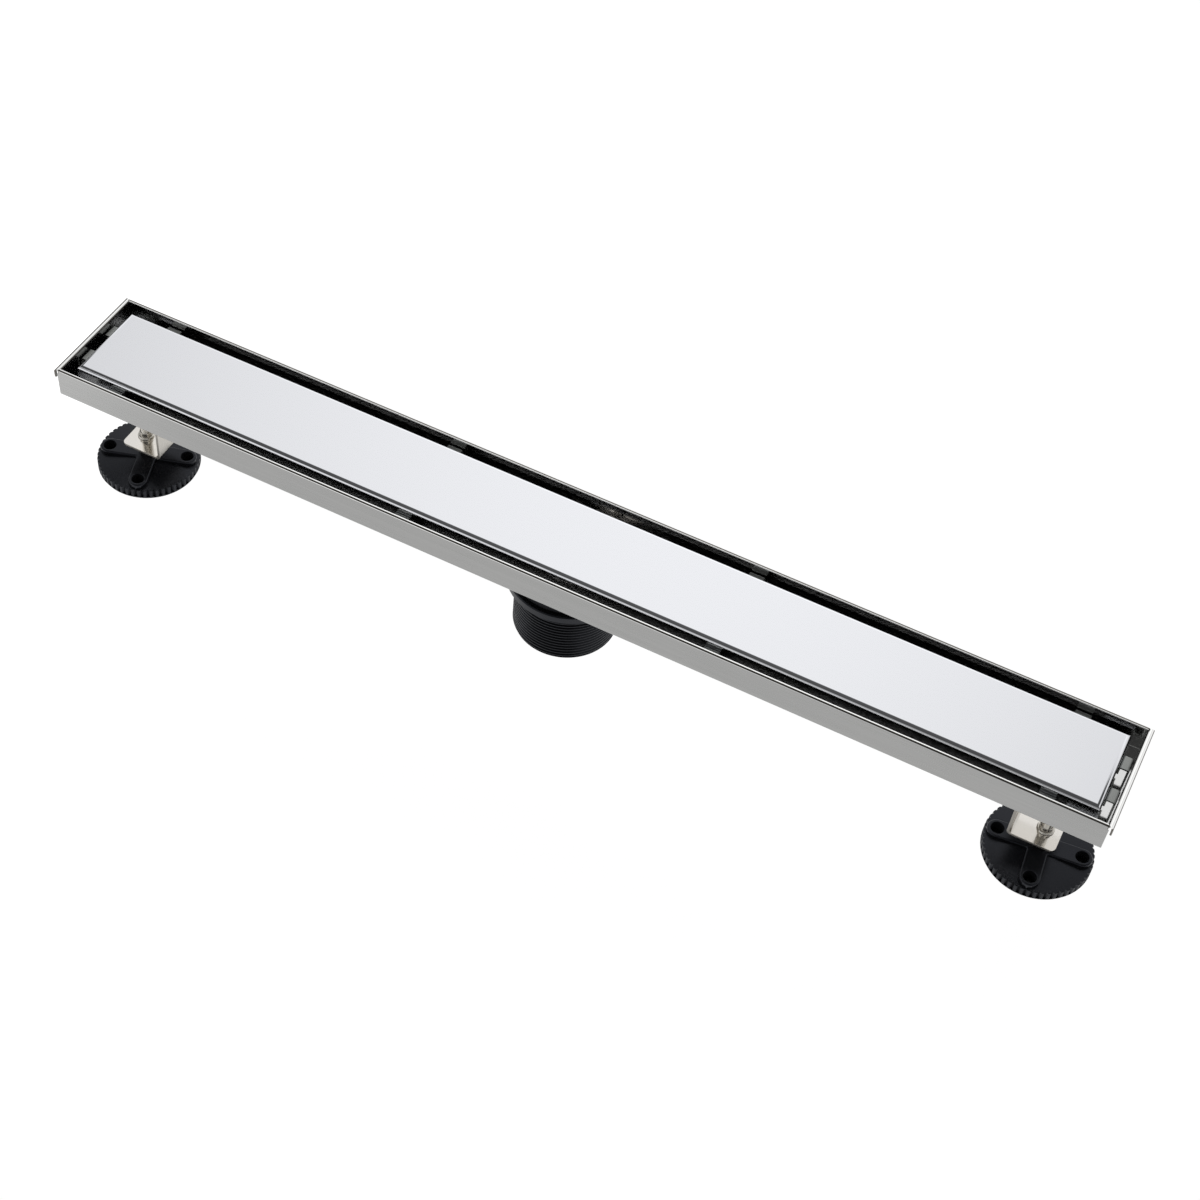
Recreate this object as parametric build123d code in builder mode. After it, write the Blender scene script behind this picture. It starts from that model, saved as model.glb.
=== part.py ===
import os
from math import cos, radians, sin

from build123d import *

# Trough, folded from sheet; X runs along it, Z = 0 is the floor that the feet stand on
trough_length = 610.0  # over the lips of the end walls
trough_width = 68.0
trough_height = 18.5  # rim above the underside
stand_height = 69.5  # underside above the soles of the feet
sheet = 1.0
floor_bend = 1.5  # outside radius between floor and long walls
hem_drop = 5.5  # inward fold along the long walls
lip_drop = 5.5  # outward fold along the end walls
lip_gap = 1.0  # air between an end wall and its lip

# Outlet, a steel neck with a push-on adaptor
outlet_x = -3.5  # the outlet sits a little off the middle
neck_radius = 25.0
neck_wall = 1.2
neck_length = 29.5  # below the underside
neck_flange_reach = 6.0  # past the neck
neck_flange = 1.0
seal_height = 5.5
adaptor_wall = 3.3  # round the neck, over the thread
adaptor_flange_reach = 5.2  # past the thread
adaptor_flange = 5.0
thread_length = 35.5
adaptor_chamfer = 1.0
adaptor_clearance = 0.3  # round the neck

# Hair strainer, a basket hung in the neck by its rim
strainer_rim_width = 7.1
strainer_sheet = 0.8
strainer_depth = 11.0
strainer_bevel = 0.5  # where its wall turns into the rim and the bottom
strainer_clearance = 0.4  # to the neck's bore
strainer_hole = 5.0  # diameter
strainer_pitch = 7.6  # between rings of holes
strainer_rings = 2
strainer_spokes = 4  # holes in the inner ring, and that many more in the next

# Cover, a shallow pan lying flat side up
cover_gap = 6.2  # to the rim, all round
cover_inset = 0.3  # below the rim
cover_height = 11.0
cover_sheet = 1.2
cover_fold = 2.2  # outside radius of its folded edges

# Lugs, bent strips welded to the sides of the cover
lug_width = 8.5
lug_sheet = 1.0
lug_bend = 1.5  # outside radius
lug_drop = 5.0  # top of a lug below the rim
lug_weld = 5.5  # height of the leg on the cover
lug_clearance = 0.6  # to the rim
lug_inset = 25.8  # outermost lug on a long side, from the cover's end
lug_count = 4  # along each long side, evenly spread
lug_end_y = 11.0

# Foot brackets, bent strips hung from the underside
foot_inset = 30.0  # bolt to the end of the trough
bracket_width = 24.0
bracket_sheet = 1.5
bracket_bend = 3.0  # outside radius
bracket_corner = 3.0  # free corners in plan
shelf_height = 22.5  # top of the shelf above the soles
shelf_reach = 8.7  # past the bolt, outwards
leg_reach = 17.5  # from the bolt to the leg's inner face
tab_length = 22.0  # welded to the underside
shelf_hole_clearance = 0.4

# Levelling feet
bolt_radius = 3.0
bolt_top = 60.0  # above the soles
bolt_chamfer = 0.8
bolt_head = 4.0  # height
hex_size = 10.0  # across the flats of bolt head and nut
head_inset = 0.8  # bolt head above the soles
hex_clearance = 0.15
bolt_clearance = 0.05
foot_nut_height = 5.0
levelling_nut_radius = 4.8
levelling_nut_height = 4.0
levelling_nut_chamfer = 0.6

# Pads of the feet
pad_radius = 29.5  # over the ribs
pad_ring_inset = 0.8  # plain ring below the ribs, inside their crests
pad_ring = 1.6  # height of that ring
pad_rim = 6.6  # top of the ribs
pad_ribs = 52
pad_rib_depth = 1.2
pad_rib_bevel = 1.4  # on the top of each rib
pad_crown = 9.0  # height at the middle
pad_height = 9.7  # top of the raised cross
pad_arm_width = 11.0
pad_arm_bevel = 0.9  # on the top edges of the cross
pad_arm_web = 1.0  # in the inner corners of the cross
pad_hole_circle = 45.5
pad_holes = 4  # one in each arm of the cross
pad_hole = 4.2  # diameter
pad_recess = 7.2  # diameter, for a screw's head
pad_recess_depth = 7.0
pad_hollow_depth = 2.0  # under the pad, between the holes
pad_hollow_inner = 9.0
pad_hollow_outer = 26.0
pad_turn_left = 19.0
pad_turn_right = 6.0

# Heights and faces that pieces share
rim_z = stand_height + trough_height
floor_z = stand_height + sheet
wall_y = trough_width / 2
rim_y = wall_y - 2 * sheet
lip_width = 2 * sheet + lip_gap
end_x = trough_length / 2 - lip_width
channel_x = end_x + sheet
neck_bore = neck_radius - neck_wall
neck_flange_radius = neck_radius + neck_flange_reach
socket_radius = neck_radius + adaptor_clearance
thread_radius = socket_radius + adaptor_wall
adaptor_flange_radius = thread_radius + adaptor_flange_reach
basket_radius = neck_bore - strainer_clearance
strainer_rim_radius = basket_radius + strainer_rim_width
neck_end_z = stand_height - neck_length
seal_z = stand_height - neck_flange
adaptor_z = seal_z - seal_height
thread_z = adaptor_z - adaptor_flange
outlet_z = thread_z - thread_length
cover_z = rim_z - cover_inset
cover_x = end_x - cover_gap
cover_y = rim_y - cover_gap
lug_z = rim_z - lug_drop
lug_reach = cover_gap - lug_clearance
lug_outer_x = cover_x - lug_inset
lug_spacing = 2 * lug_outer_x / (lug_count - 1)
foot_x = trough_length / 2 - foot_inset
head_top_z = head_inset + bolt_head
bolt_hole = bolt_radius + bolt_clearance
crown_radius = pad_radius - pad_rib_bevel
pad_turns = {"left": pad_turn_left, "right": pad_turn_right}
sides = {"left": -1, "right": 1}

outlet_plane = Plane(origin=(outlet_x, 0, 0), x_dir=(1, 0, 0), z_dir=(0, -1, 0))
outlet_axis = Axis((outlet_x, 0, 0), (0, 0, 1))


def end_plane(side):
    # Upright plane along the middle, with its own X pointing to that end
    return Plane(origin=(0, 0, 0), x_dir=(side, 0, 0), z_dir=(0, -side, 0))


def foot_plane(side, height, turn=0.0):
    # Level plane centred on a foot's bolt
    return Plane(origin=(side * foot_x, 0, height), x_dir=(cos(radians(turn)), sin(radians(turn)), 0))


def save(piece, name):
    piece.part.label = name
    export_step(piece.part, f"parts/{name}.step")


os.makedirs("parts", exist_ok=True)

# Channel: one folded sheet, its rims folded back on the inside between the end walls
with BuildPart() as trough_channel:
    with BuildSketch(Plane.YZ.offset(-channel_x)) as outside:
        with Locations((0, stand_height)):
            Rectangle(trough_width, trough_height, align=(Align.CENTER, Align.MIN))
        fillet(outside.vertices().group_by(Axis.Y)[0], radius=floor_bend)
        fillet(outside.vertices().group_by(Axis.Y)[-1], radius=sheet)
    extrude(amount=2 * channel_x)
    with BuildSketch(Plane.YZ.offset(-channel_x)) as inside:
        with Locations((0, floor_z)):
            Rectangle(trough_width - 2 * sheet, trough_height, align=(Align.CENTER, Align.MIN))
        fillet(inside.vertices().group_by(Axis.Y)[0], radius=floor_bend - sheet)
    extrude(amount=2 * channel_x, mode=Mode.SUBTRACT)
    with BuildSketch(Plane.YZ.offset(-end_x)):
        with BuildLine():
            fold = CenterArc((wall_y - sheet, rim_z - sheet), sheet, 90, 90)
            Polyline(fold @ 1, (rim_y, rim_z - hem_drop), (wall_y - sheet, rim_z - hem_drop), fold @ 0)
        make_face()
        mirror(about=Plane.YZ)
    extrude(amount=2 * end_x)
    with BuildSketch(Plane.XY.offset(stand_height)):
        with Locations((outlet_x, 0)):
            Circle(neck_bore)
    extrude(amount=sheet, mode=Mode.SUBTRACT)
save(trough_channel, "trough_channel")

# End walls: a plate between the long walls, folded over outwards into a lip of the full width
for hand, side in sides.items():
    with BuildPart() as end_wall:
        with BuildSketch(end_plane(side)):
            with BuildLine():
                crest = (end_x + lip_width / 2, rim_z - lip_width / 2)
                over = CenterArc(crest, lip_width / 2, 180, -180)
                under = CenterArc(crest, lip_gap / 2, 0, 180)
                lip_end = rim_z - lip_drop
                outer_face = end_x + lip_width
                Polyline(over @ 1, (outer_face, lip_end), (outer_face - sheet, lip_end), under @ 0)
                Polyline(under @ 1, (channel_x, floor_z), (end_x, floor_z), over @ 0)
            make_face()
        extrude(amount=wall_y, both=True)
        with BuildSketch(Plane.XY.offset(floor_z)):
            with Locations((side * (channel_x - sheet / 2), 0)):
                with GridLocations(sheet, trough_width - sheet, 1, 2):
                    Rectangle(sheet, sheet)
        extrude(amount=trough_height, mode=Mode.SUBTRACT)
        fillet(end_wall.edges().filter_by(Axis.X).group_by(Axis.Z)[0], radius=floor_bend)
    save(end_wall, f"end_wall_{hand}")

# Neck of the outlet: a flanged tube welded under the hole in the floor
with BuildPart() as outlet_neck:
    with BuildSketch(Plane.XY.offset(seal_z)):
        with Locations((outlet_x, 0)):
            Circle(neck_flange_radius)
    extrude(amount=neck_flange)
    with BuildSketch(Plane.XY.offset(neck_end_z)):
        with Locations((outlet_x, 0)):
            Circle(neck_radius)
    extrude(until=Until.NEXT)
    with BuildSketch(Plane.XY.offset(neck_end_z)):
        with Locations((outlet_x, 0)):
            Circle(neck_bore)
    extrude(amount=neck_length, mode=Mode.SUBTRACT)
save(outlet_neck, "outlet_neck")

with BuildPart() as outlet_seal:
    with BuildSketch(Plane.XY.offset(adaptor_z)):
        with Locations((outlet_x, 0)):
            Circle(neck_flange_radius)
            Circle(socket_radius, mode=Mode.SUBTRACT)
    extrude(amount=seal_height)
save(outlet_seal, "outlet_seal")

# Adaptor: flange and thread blank, with a socket for the neck above a bore of the neck's own size
with BuildPart() as outlet_adaptor:
    with BuildSketch(outlet_plane) as adaptor_section:
        with BuildLine():
            Polyline(
                (neck_bore, outlet_z),
                (thread_radius, outlet_z),
                (thread_radius, thread_z),
                (adaptor_flange_radius, thread_z),
                (adaptor_flange_radius, adaptor_z),
                (socket_radius, adaptor_z),
                (socket_radius, neck_end_z),
                (neck_bore, neck_end_z),
                close=True,
            )
        make_face()
        thread_start = adaptor_section.vertices().group_by(Axis.Y)[0].sort_by(Axis.X)[-1]
        flange_edges = adaptor_section.vertices().group_by(Axis.X)[-1]
        chamfer(thread_start, length=adaptor_chamfer)
        chamfer(flange_edges, length=adaptor_chamfer / 2)
    revolve(axis=outlet_axis)
save(outlet_adaptor, "outlet_adaptor")

# Strainer: pressed basket with rings of holes in its bottom
with BuildPart() as hair_strainer:
    basket_z = floor_z - strainer_depth
    with BuildSketch(outlet_plane):
        with BuildLine():
            wall_radius = basket_radius - strainer_sheet
            bottom_z = basket_z + strainer_sheet
            rim_top_z = floor_z + strainer_sheet
            Polyline(
                (0, basket_z),
                (basket_radius - strainer_bevel, basket_z),
                (basket_radius, basket_z + strainer_bevel),
                (basket_radius, floor_z),
                (strainer_rim_radius, floor_z),
                (strainer_rim_radius, rim_top_z),
                (wall_radius + strainer_bevel, rim_top_z),
                (wall_radius, rim_top_z - strainer_bevel),
                (wall_radius, bottom_z),
                (0, bottom_z),
                close=True,
            )
        make_face()
    revolve(axis=outlet_axis)
    with BuildSketch(Plane.XY.offset(basket_z)):
        with Locations((outlet_x, 0)):
            Circle(strainer_hole / 2)
            for ring in range(1, strainer_rings + 1):
                with PolarLocations(ring * strainer_pitch, ring * strainer_spokes):
                    Circle(strainer_hole / 2)
    extrude(amount=strainer_sheet, mode=Mode.SUBTRACT)
save(hair_strainer, "hair_strainer")

# Cover: a pan with folded edges and welded corners, open underneath
with BuildPart() as cover_pan:
    with BuildSketch(Plane.XY.offset(cover_z)):
        Rectangle(2 * cover_x, 2 * cover_y)
    extrude(amount=-cover_height)
    fillet(cover_pan.faces().sort_by(Axis.Z)[-1].edges(), radius=cover_fold)
    offset(amount=-cover_sheet, openings=cover_pan.faces().sort_by(Axis.Z)[0])
save(cover_pan, "cover_pan")

# Lugs: a short leg on the cover's side, a top, and a long leg standing on the trough's floor
lug_places = {
    f"cover_lug_{where}_{number + 1}": (Vector(number * lug_spacing - lug_outer_x, y * cover_y), Vector(0, y))
    for where, y in (("front", -1), ("back", 1))
    for number in range(lug_count)
}
lug_places.update(
    {
        f"cover_lug_{hand}_{number}": (Vector(side * cover_x, y), Vector(side, 0))
        for hand, side in sides.items()
        for number, y in enumerate((-lug_end_y, lug_end_y), 1)
    }
)
for name, (place, outward) in lug_places.items():
    with BuildPart() as cover_lug:
        across = outward.cross(Vector(0, 0, 1))
        with BuildSketch(Plane(origin=place, x_dir=outward, z_dir=across)):
            with BuildLine():
                top = FilletPolyline(
                    (0, lug_z - lug_weld), (0, lug_z), (lug_reach, lug_z), (lug_reach, floor_z), radius=lug_bend
                )
                below = FilletPolyline(
                    (lug_sheet, lug_z - lug_weld),
                    (lug_sheet, lug_z - lug_sheet),
                    (lug_reach - lug_sheet, lug_z - lug_sheet),
                    (lug_reach - lug_sheet, floor_z),
                    radius=lug_bend - lug_sheet,
                )
                Line(top @ 0, below @ 0)
                Line(top @ 1, below @ 1)
            make_face()
        extrude(amount=lug_width / 2, both=True)
    save(cover_lug, name)

for hand, side in sides.items():
    # Bracket: a tab under the trough, a leg down, and a shelf outwards to the foot
    with BuildPart() as foot_bracket:
        leg_x = foot_x - leg_reach
        shelf_end = foot_x + shelf_reach
        with BuildSketch(end_plane(side)):
            with BuildLine():
                upper = FilletPolyline(
                    (leg_x - tab_length, stand_height),
                    (leg_x + bracket_sheet, stand_height),
                    (leg_x + bracket_sheet, shelf_height),
                    (shelf_end, shelf_height),
                    radius=[bracket_bend, bracket_bend - bracket_sheet],
                )
                lower = FilletPolyline(
                    (leg_x - tab_length, stand_height - bracket_sheet),
                    (leg_x, stand_height - bracket_sheet),
                    (leg_x, shelf_height - bracket_sheet),
                    (shelf_end, shelf_height - bracket_sheet),
                    radius=[bracket_bend - bracket_sheet, bracket_bend],
                )
                Line(upper @ 0, lower @ 0)
                Line(upper @ 1, lower @ 1)
            make_face()
        extrude(amount=bracket_width / 2, both=True)
        free_ends = foot_bracket.faces().filter_by(Axis.X).sort_by(Axis.X)
        ends = ShapeList([free_ends[0], free_ends[-1]])
        fillet(ends.edges().filter_by(Axis.Z), radius=bracket_corner)
        with BuildSketch(foot_plane(side, shelf_height - bracket_sheet)):
            Circle(bolt_radius + shelf_hole_clearance)
        extrude(amount=bracket_sheet, mode=Mode.SUBTRACT)
    save(foot_bracket, f"foot_bracket_{hand}")

    # Round nut welded on the shelf, which the bolt turns in
    with BuildPart() as levelling_nut:
        with BuildSketch(foot_plane(side, shelf_height)):
            Circle(levelling_nut_radius)
        extrude(amount=levelling_nut_height)
        chamfer(levelling_nut.faces().sort_by(Axis.Z)[-1].edges(), length=levelling_nut_chamfer)
        with BuildSketch(foot_plane(side, shelf_height)):
            Circle(bolt_hole)
        extrude(amount=levelling_nut_height, mode=Mode.SUBTRACT)
    save(levelling_nut, f"levelling_nut_{hand}")

    turn = pad_turns[hand]
    # Bolt: its head is held in the pad, its shank goes up through the shelf and the nut
    with BuildPart() as foot_bolt:
        with BuildSketch(foot_plane(side, head_inset, turn)):
            RegularPolygon(hex_size / 2, 6, major_radius=False)
        extrude(amount=bolt_head)
        with BuildSketch(foot_plane(side, head_top_z)):
            Circle(bolt_radius)
        extrude(amount=bolt_top - head_top_z)
        chamfer(foot_bolt.faces().sort_by(Axis.Z)[-1].edges(), length=bolt_chamfer)
    save(foot_bolt, f"foot_bolt_{hand}")

    with BuildPart() as foot_nut:
        with BuildSketch(foot_plane(side, pad_height, turn)):
            RegularPolygon(hex_size / 2, 6, major_radius=False)
            Circle(bolt_hole, mode=Mode.SUBTRACT)
        extrude(amount=foot_nut_height)
    save(foot_nut, f"foot_nut_{hand}")

    # Pad: low crown with a ribbed edge, a raised cross with four screw holes, and a shallow hollow below
    with BuildPart() as foot_pad:
        pad_section = Plane(origin=(side * foot_x, 0, 0), x_dir=(1, 0, 0), z_dir=(0, -1, 0))
        pad_axis = Axis((side * foot_x, 0, 0), (0, 0, 1))
        with BuildSketch(foot_plane(side, pad_ring, turn)):
            Circle(pad_radius)
            with PolarLocations(pad_radius, pad_ribs):
                RegularPolygon(pad_rib_depth, 3, rotation=180, mode=Mode.SUBTRACT)
        extrude(amount=pad_rim - pad_ring)
        with BuildSketch(pad_section):
            with BuildLine():
                past_ribs = pad_radius + pad_rib_depth
                below_ribs = pad_rim - pad_rib_bevel - pad_rib_depth
                Polyline((crown_radius, pad_rim), (past_ribs, pad_rim), (past_ribs, below_ribs), close=True)
            make_face()
        revolve(axis=pad_axis, mode=Mode.SUBTRACT)
        with BuildSketch(pad_section):
            with BuildLine():
                Polyline((0, pad_rim), (crown_radius, pad_rim), (0, pad_crown), close=True)
            make_face()
        revolve(axis=pad_axis)
        with BuildSketch(foot_plane(side, 0, turn)):
            Circle(pad_radius - pad_ring_inset)
        extrude(amount=pad_ring)
        with BuildSketch(foot_plane(side, pad_ring, turn)) as cross:
            SlotCenterToCenter(pad_hole_circle, pad_arm_width)
            SlotCenterToCenter(pad_hole_circle, pad_arm_width, rotation=90)
            fillet(cross.vertices().group_by(SortBy.DISTANCE)[0], radius=pad_arm_web)
        extrude(amount=pad_height - pad_ring)
        chamfer(foot_pad.faces().sort_by(Axis.Z)[-1].edges(), length=pad_arm_bevel)
        with BuildSketch(foot_plane(side, 0, turn)):
            Circle(pad_hollow_outer)
            Circle(pad_hollow_inner, mode=Mode.SUBTRACT)
            with PolarLocations(pad_hole_circle / 2, pad_holes):
                Circle(pad_arm_width / 2, mode=Mode.SUBTRACT)
        extrude(amount=pad_hollow_depth, mode=Mode.SUBTRACT)
        with BuildSketch(foot_plane(side, 0, turn)):
            RegularPolygon(hex_size / 2 + hex_clearance, 6, major_radius=False)
        extrude(amount=head_top_z, mode=Mode.SUBTRACT)
        with Locations(foot_plane(side, pad_height, turn)):
            Hole(bolt_hole)
            with PolarLocations(pad_hole_circle / 2, pad_holes):
                CounterBoreHole(pad_hole / 2, pad_recess / 2, pad_recess_depth)
    save(foot_pad, f"foot_pad_{hand}")
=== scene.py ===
from math import cos, pi, radians, sin

import bmesh
import bpy
from mathutils import Matrix, Vector


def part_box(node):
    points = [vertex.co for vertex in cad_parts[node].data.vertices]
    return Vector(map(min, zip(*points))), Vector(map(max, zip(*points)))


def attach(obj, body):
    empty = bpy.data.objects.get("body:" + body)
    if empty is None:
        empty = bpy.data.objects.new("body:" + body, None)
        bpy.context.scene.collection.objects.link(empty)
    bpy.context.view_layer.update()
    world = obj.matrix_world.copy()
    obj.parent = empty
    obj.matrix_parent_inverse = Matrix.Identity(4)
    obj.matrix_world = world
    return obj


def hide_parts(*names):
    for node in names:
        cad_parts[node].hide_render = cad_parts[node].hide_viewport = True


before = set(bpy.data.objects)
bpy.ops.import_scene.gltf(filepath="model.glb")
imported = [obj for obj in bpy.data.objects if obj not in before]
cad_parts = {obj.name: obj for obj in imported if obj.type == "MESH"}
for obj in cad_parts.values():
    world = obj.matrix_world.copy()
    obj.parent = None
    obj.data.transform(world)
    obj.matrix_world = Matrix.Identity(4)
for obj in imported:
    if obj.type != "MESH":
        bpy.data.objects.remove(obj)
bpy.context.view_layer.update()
print("frame loaded:", len(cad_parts), "nodes")

tiny = 1e-6  # points closer than this are one point
exact = 1e-7  # a cut goes through a point that is this close to it
near = 1e-5  # an edge or face this close to a place is there
straight = 0.999  # share of an axis in the direction of an edge that runs along it
facing = 0.9  # and in the normal of a face that looks along it
sides = {"left": -1, "right": 1}
roundSides = 96  # of a turned piece that has no count of its own
hexSides = 6
smoothAngle = 35  # degrees, and a sharper edge stays sharp
edgeBevel = {"segments": 2, "limit_method": "ANGLE", "angle_limit": radians(60)}

# faces of the solids that several pieces meet
troughLow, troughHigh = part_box("trough_channel")
neckLow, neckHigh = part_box("outlet_neck")
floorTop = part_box("end_wall_left")[0].z  # inside of the trough's floor
sheet = floorTop - troughLow.z
rimTop = troughHigh.z
outletX = (neckLow.x + neckHigh.x) / 2
neckWall = 0.0012
neckRadius = 0.025
neckBore = neckRadius - neckWall
footX = {hand: sum(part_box(f"foot_bolt_{hand}"), Vector()).x / 2 for hand in sides}

# camera, as the photograph was taken
cameraView = {
    "azimuth": 21.69,
    "elevation": 49.842,
    "roll": 6.522,
    "distance": 1.0798,
    "aim": (0.02781, -0.03028),  # on the plane of the rim
    "focalPixels": 2119.5,
    "imagePixels": 1200,
    "sensor": 36.0,
}


def addCamera(view):
    azimuth, elevation, roll = (radians(view[key]) for key in ("azimuth", "elevation", "roll"))
    back = Vector((sin(azimuth) * cos(elevation), -cos(azimuth) * cos(elevation), sin(elevation)))
    level = Vector((cos(azimuth), sin(azimuth), 0))
    right = level * cos(roll) + back.cross(level) * sin(roll)
    turn = Matrix((right, back.cross(right), back)).transposed().to_4x4()
    data = bpy.data.cameras.new("photoCamera")
    data.sensor_width = view["sensor"]
    data.lens = view["sensor"] * view["focalPixels"] / view["imagePixels"]
    camera = bpy.data.objects.new("photoCamera", data)
    place = Vector((*view["aim"], rimTop)) + back * view["distance"]
    camera.matrix_world = Matrix.Translation(place) @ turn
    bpy.context.scene.collection.objects.link(camera)
    bpy.context.scene.camera = camera


class Wire:
    # an output socket of a node; sums on wires add Math nodes to its tree
    def __init__(self, tree, socket=None):
        self.tree = tree
        self.socket = socket

    def node(self, kind, settings, sockets, out=0):
        made = self.tree.nodes.new(kind)
        for name, value in settings.items():
            if name == "stops":
                setStops(made.color_ramp, value)
            else:
                setattr(made, name, value)
        for name, value in sockets.items():
            if isinstance(value, Wire):
                self.tree.links.new(value.socket, made.inputs[name])
            else:
                made.inputs[name].default_value = value
        return Wire(self.tree, made.outputs[out] if made.outputs else None)

    def sum(self, operation, first, second=0.0):
        return self.node("ShaderNodeMath", {"operation": operation}, {0: first, 1: second})

    def __add__(self, other):
        return self.sum("ADD", self, other)

    def __sub__(self, other):
        return self.sum("SUBTRACT", self, other)

    def __mul__(self, other):
        return self.sum("MULTIPLY", self, other)

    def __radd__(self, other):
        return self.sum("ADD", other, self)

    def __rsub__(self, other):
        return self.sum("SUBTRACT", other, self)

    def __rmul__(self, other):
        return self.sum("MULTIPLY", other, self)

    def __abs__(self):
        return self.sum("ABSOLUTE", self)

    def step(self, low, high):
        # 0 below low, 1 above high, smooth between
        settings = {"interpolation_type": "SMOOTHSTEP"}
        return self.node("ShaderNodeMapRange", settings, {"Value": self, "From Min": low, "From Max": high})

    def blend(self, first, second):
        # two colours, mixed by this wire: inputs 6 and 7 and output 2 are the Mix node's colour sockets
        return self.node("ShaderNodeMix", {"data_type": "RGBA"}, {0: self, 6: first, 7: second}, 2)

    def axes(self):
        return [self.node("ShaderNodeSeparateXYZ", {}, {"Vector": self}, axis) for axis in "XYZ"]


def setStops(ramp, stops):
    ramp.elements.remove(ramp.elements[-1])
    for place, level in stops:
        ramp.elements.new(place).color = (level, level, level, 1)
    ramp.elements.remove(ramp.elements[0])


# stage: white floor, and a studio that is bright behind and in front and dark overhead
white = (1, 1, 1, 1)
studio = {
    "floorSize": 12.0,
    "floorDrop": 0.0335,  # room below for a foot that is screwed out
    "floorGlow": 0.9,  # share of the floor that shows plain white, the rest takes the light and the shadow
    "floorWhite": 1.08,
    "floorBright": {"from": -0.26, "to": -0.42, "colour": (1.3, 1.3, 1.3, 1)},  # a pool of light painted on the floor beyond the left end
    "floorColour": (0.9, 0.9, 0.9, 1),
    "level": 1.45,
    # degrees from the horizon behind, over the top, to the horizon in front, with the share of the level
    "arch": [
        (1, 0.7), (8, 0.9), (34, 1.0), (44, 0.82), (56, 0.78), (61, 0.45), (68, 0.08), (134, 0.06),
        (148, 0.5), (160, 0.62), (179, 0.6),
    ],
    "ends": {"left": 0.42, "right": 0.5},  # towards the two ends
    "endFrom": 0.6,
    "endTo": 0.95,
    "brightX": -0.22,  # the back is brightest left of the middle
    "falloff": 3.0,
    "falloffEnd": 0.72,  # and no darker than this share
    "front": (0.72, 0.82),  # of the arch, where the light in front starts
    "frontX": -0.25,  # the front grows brighter to the left of here and darker to the right
    "frontLean": 2.5,
    "frontLeast": -0.5,
    "frontMost": 0.5,
}
lamps = {
    "leftLamp": {"place": (-1.9, -0.9, 1.4), "size": 1.2, "radiance": 0.8},
}


def addWorld():
    world = bpy.data.worlds.new("studio")
    bpy.context.scene.world = world
    world.use_nodes = True
    world.node_tree.nodes.clear()
    wire = Wire(world.node_tree)
    x, y, z = wire.node("ShaderNodeTexCoord", {}, {}, "Generated").axes()
    arch = wire.sum("ARCTAN2", z, y) * (1 / pi)
    stops = [(radians(angle) / pi, share) for angle, share in studio["arch"]]
    share = wire.node("ShaderNodeValToRGB", {"stops": stops}, {"Fac": arch})
    off = x - studio["brightX"]
    share = share * wire.sum("MAXIMUM", 1 - off * off * studio["falloff"], studio["falloffEnd"])
    lean = (studio["frontX"] - x) * studio["frontLean"]
    lean = wire.node("ShaderNodeClamp", {}, {0: lean, 1: studio["frontLeast"], 2: studio["frontMost"]})
    share = share * (1 + arch.step(*studio["front"]) * lean)
    for hand, side in sides.items():
        end = (x * side).step(studio["endFrom"], studio["endTo"])
        share = share * (1 - end) + end * studio["ends"][hand]
    lit = wire.node("ShaderNodeBackground", {}, {"Color": white, "Strength": share * studio["level"]})
    plain = wire.node("ShaderNodeBackground", {}, {"Color": white, "Strength": 1.0})
    seen = wire.node("ShaderNodeLightPath", {}, {}, "Is Camera Ray")
    shader = wire.node("ShaderNodeMixShader", {}, {0: seen, 1: lit, 2: plain})
    wire.node("ShaderNodeOutputWorld", {}, {"Surface": shader})


def addFloor():
    material = bpy.data.materials.new("paleFloor")
    material.use_nodes = True
    material.node_tree.nodes.clear()
    wire = Wire(material.node_tree)
    lit = wire.node("ShaderNodeBsdfDiffuse", {}, {"Color": studio["floorColour"]})
    # a pool of light painted on the floor beyond the left end
    bright = studio["floorBright"]
    x = wire.node("ShaderNodeTexCoord", {}, {}, "Object").axes()[0]
    colour = x.step(bright["to"], bright["from"]).blend(bright["colour"], white)
    glow = wire.node("ShaderNodeEmission", {}, {"Color": colour, "Strength": studio["floorWhite"]})
    camera, glossy, through = (
        wire.node("ShaderNodeLightPath", {}, {}, f"Is {ray} Ray")
        for ray in ("Camera", "Glossy", "Transmission")
    )
    seen = wire.sum("MAXIMUM", wire.sum("MAXIMUM", camera, glossy), through) * studio["floorGlow"]
    shader = wire.node("ShaderNodeMixShader", {}, {0: seen, 1: lit, 2: glow})
    wire.node("ShaderNodeOutputMaterial", {}, {"Surface": shader})
    deselect()
    bpy.ops.mesh.primitive_plane_add(size=studio["floorSize"], location=(0, 0, -studio["floorDrop"]))
    floor = bpy.context.object
    floor.name = "paleFloor"
    floor.data.materials.append(material)


def addLamps():
    for name, lamp in lamps.items():
        data = bpy.data.lights.new(name, "AREA")
        data.size = lamp["size"]
        data.energy = lamp["radiance"] * pi * lamp["size"] ** 2
        holder = bpy.data.objects.new(name, data)
        holder.location = lamp["place"]
        holder.rotation_euler = holder.location.to_track_quat("Z", "Y").to_euler()
        bpy.context.scene.collection.objects.link(holder)


def deselect():
    bpy.ops.object.select_all(action="DESELECT")


def only(piece):
    deselect()
    bpy.context.view_layer.objects.active = piece
    piece.select_set(True)


def edit(piece):
    only(piece)
    bpy.ops.object.mode_set(mode="EDIT")
    bpy.ops.mesh.select_mode(type="VERT")


def endEdit():
    bpy.ops.object.mode_set(mode="OBJECT")


def middle(part):
    # of a vertex, an edge or a face
    if isinstance(part, bmesh.types.BMVert):
        return part.co
    return sum((corner.co for corner in part.verts), Vector()) / len(part.verts)


def runs(edge, axis):
    # whether an edge lies along that axis
    way = (edge.verts[1].co - edge.verts[0].co).normalized()
    return abs(getattr(way, axis)) > straight


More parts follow.
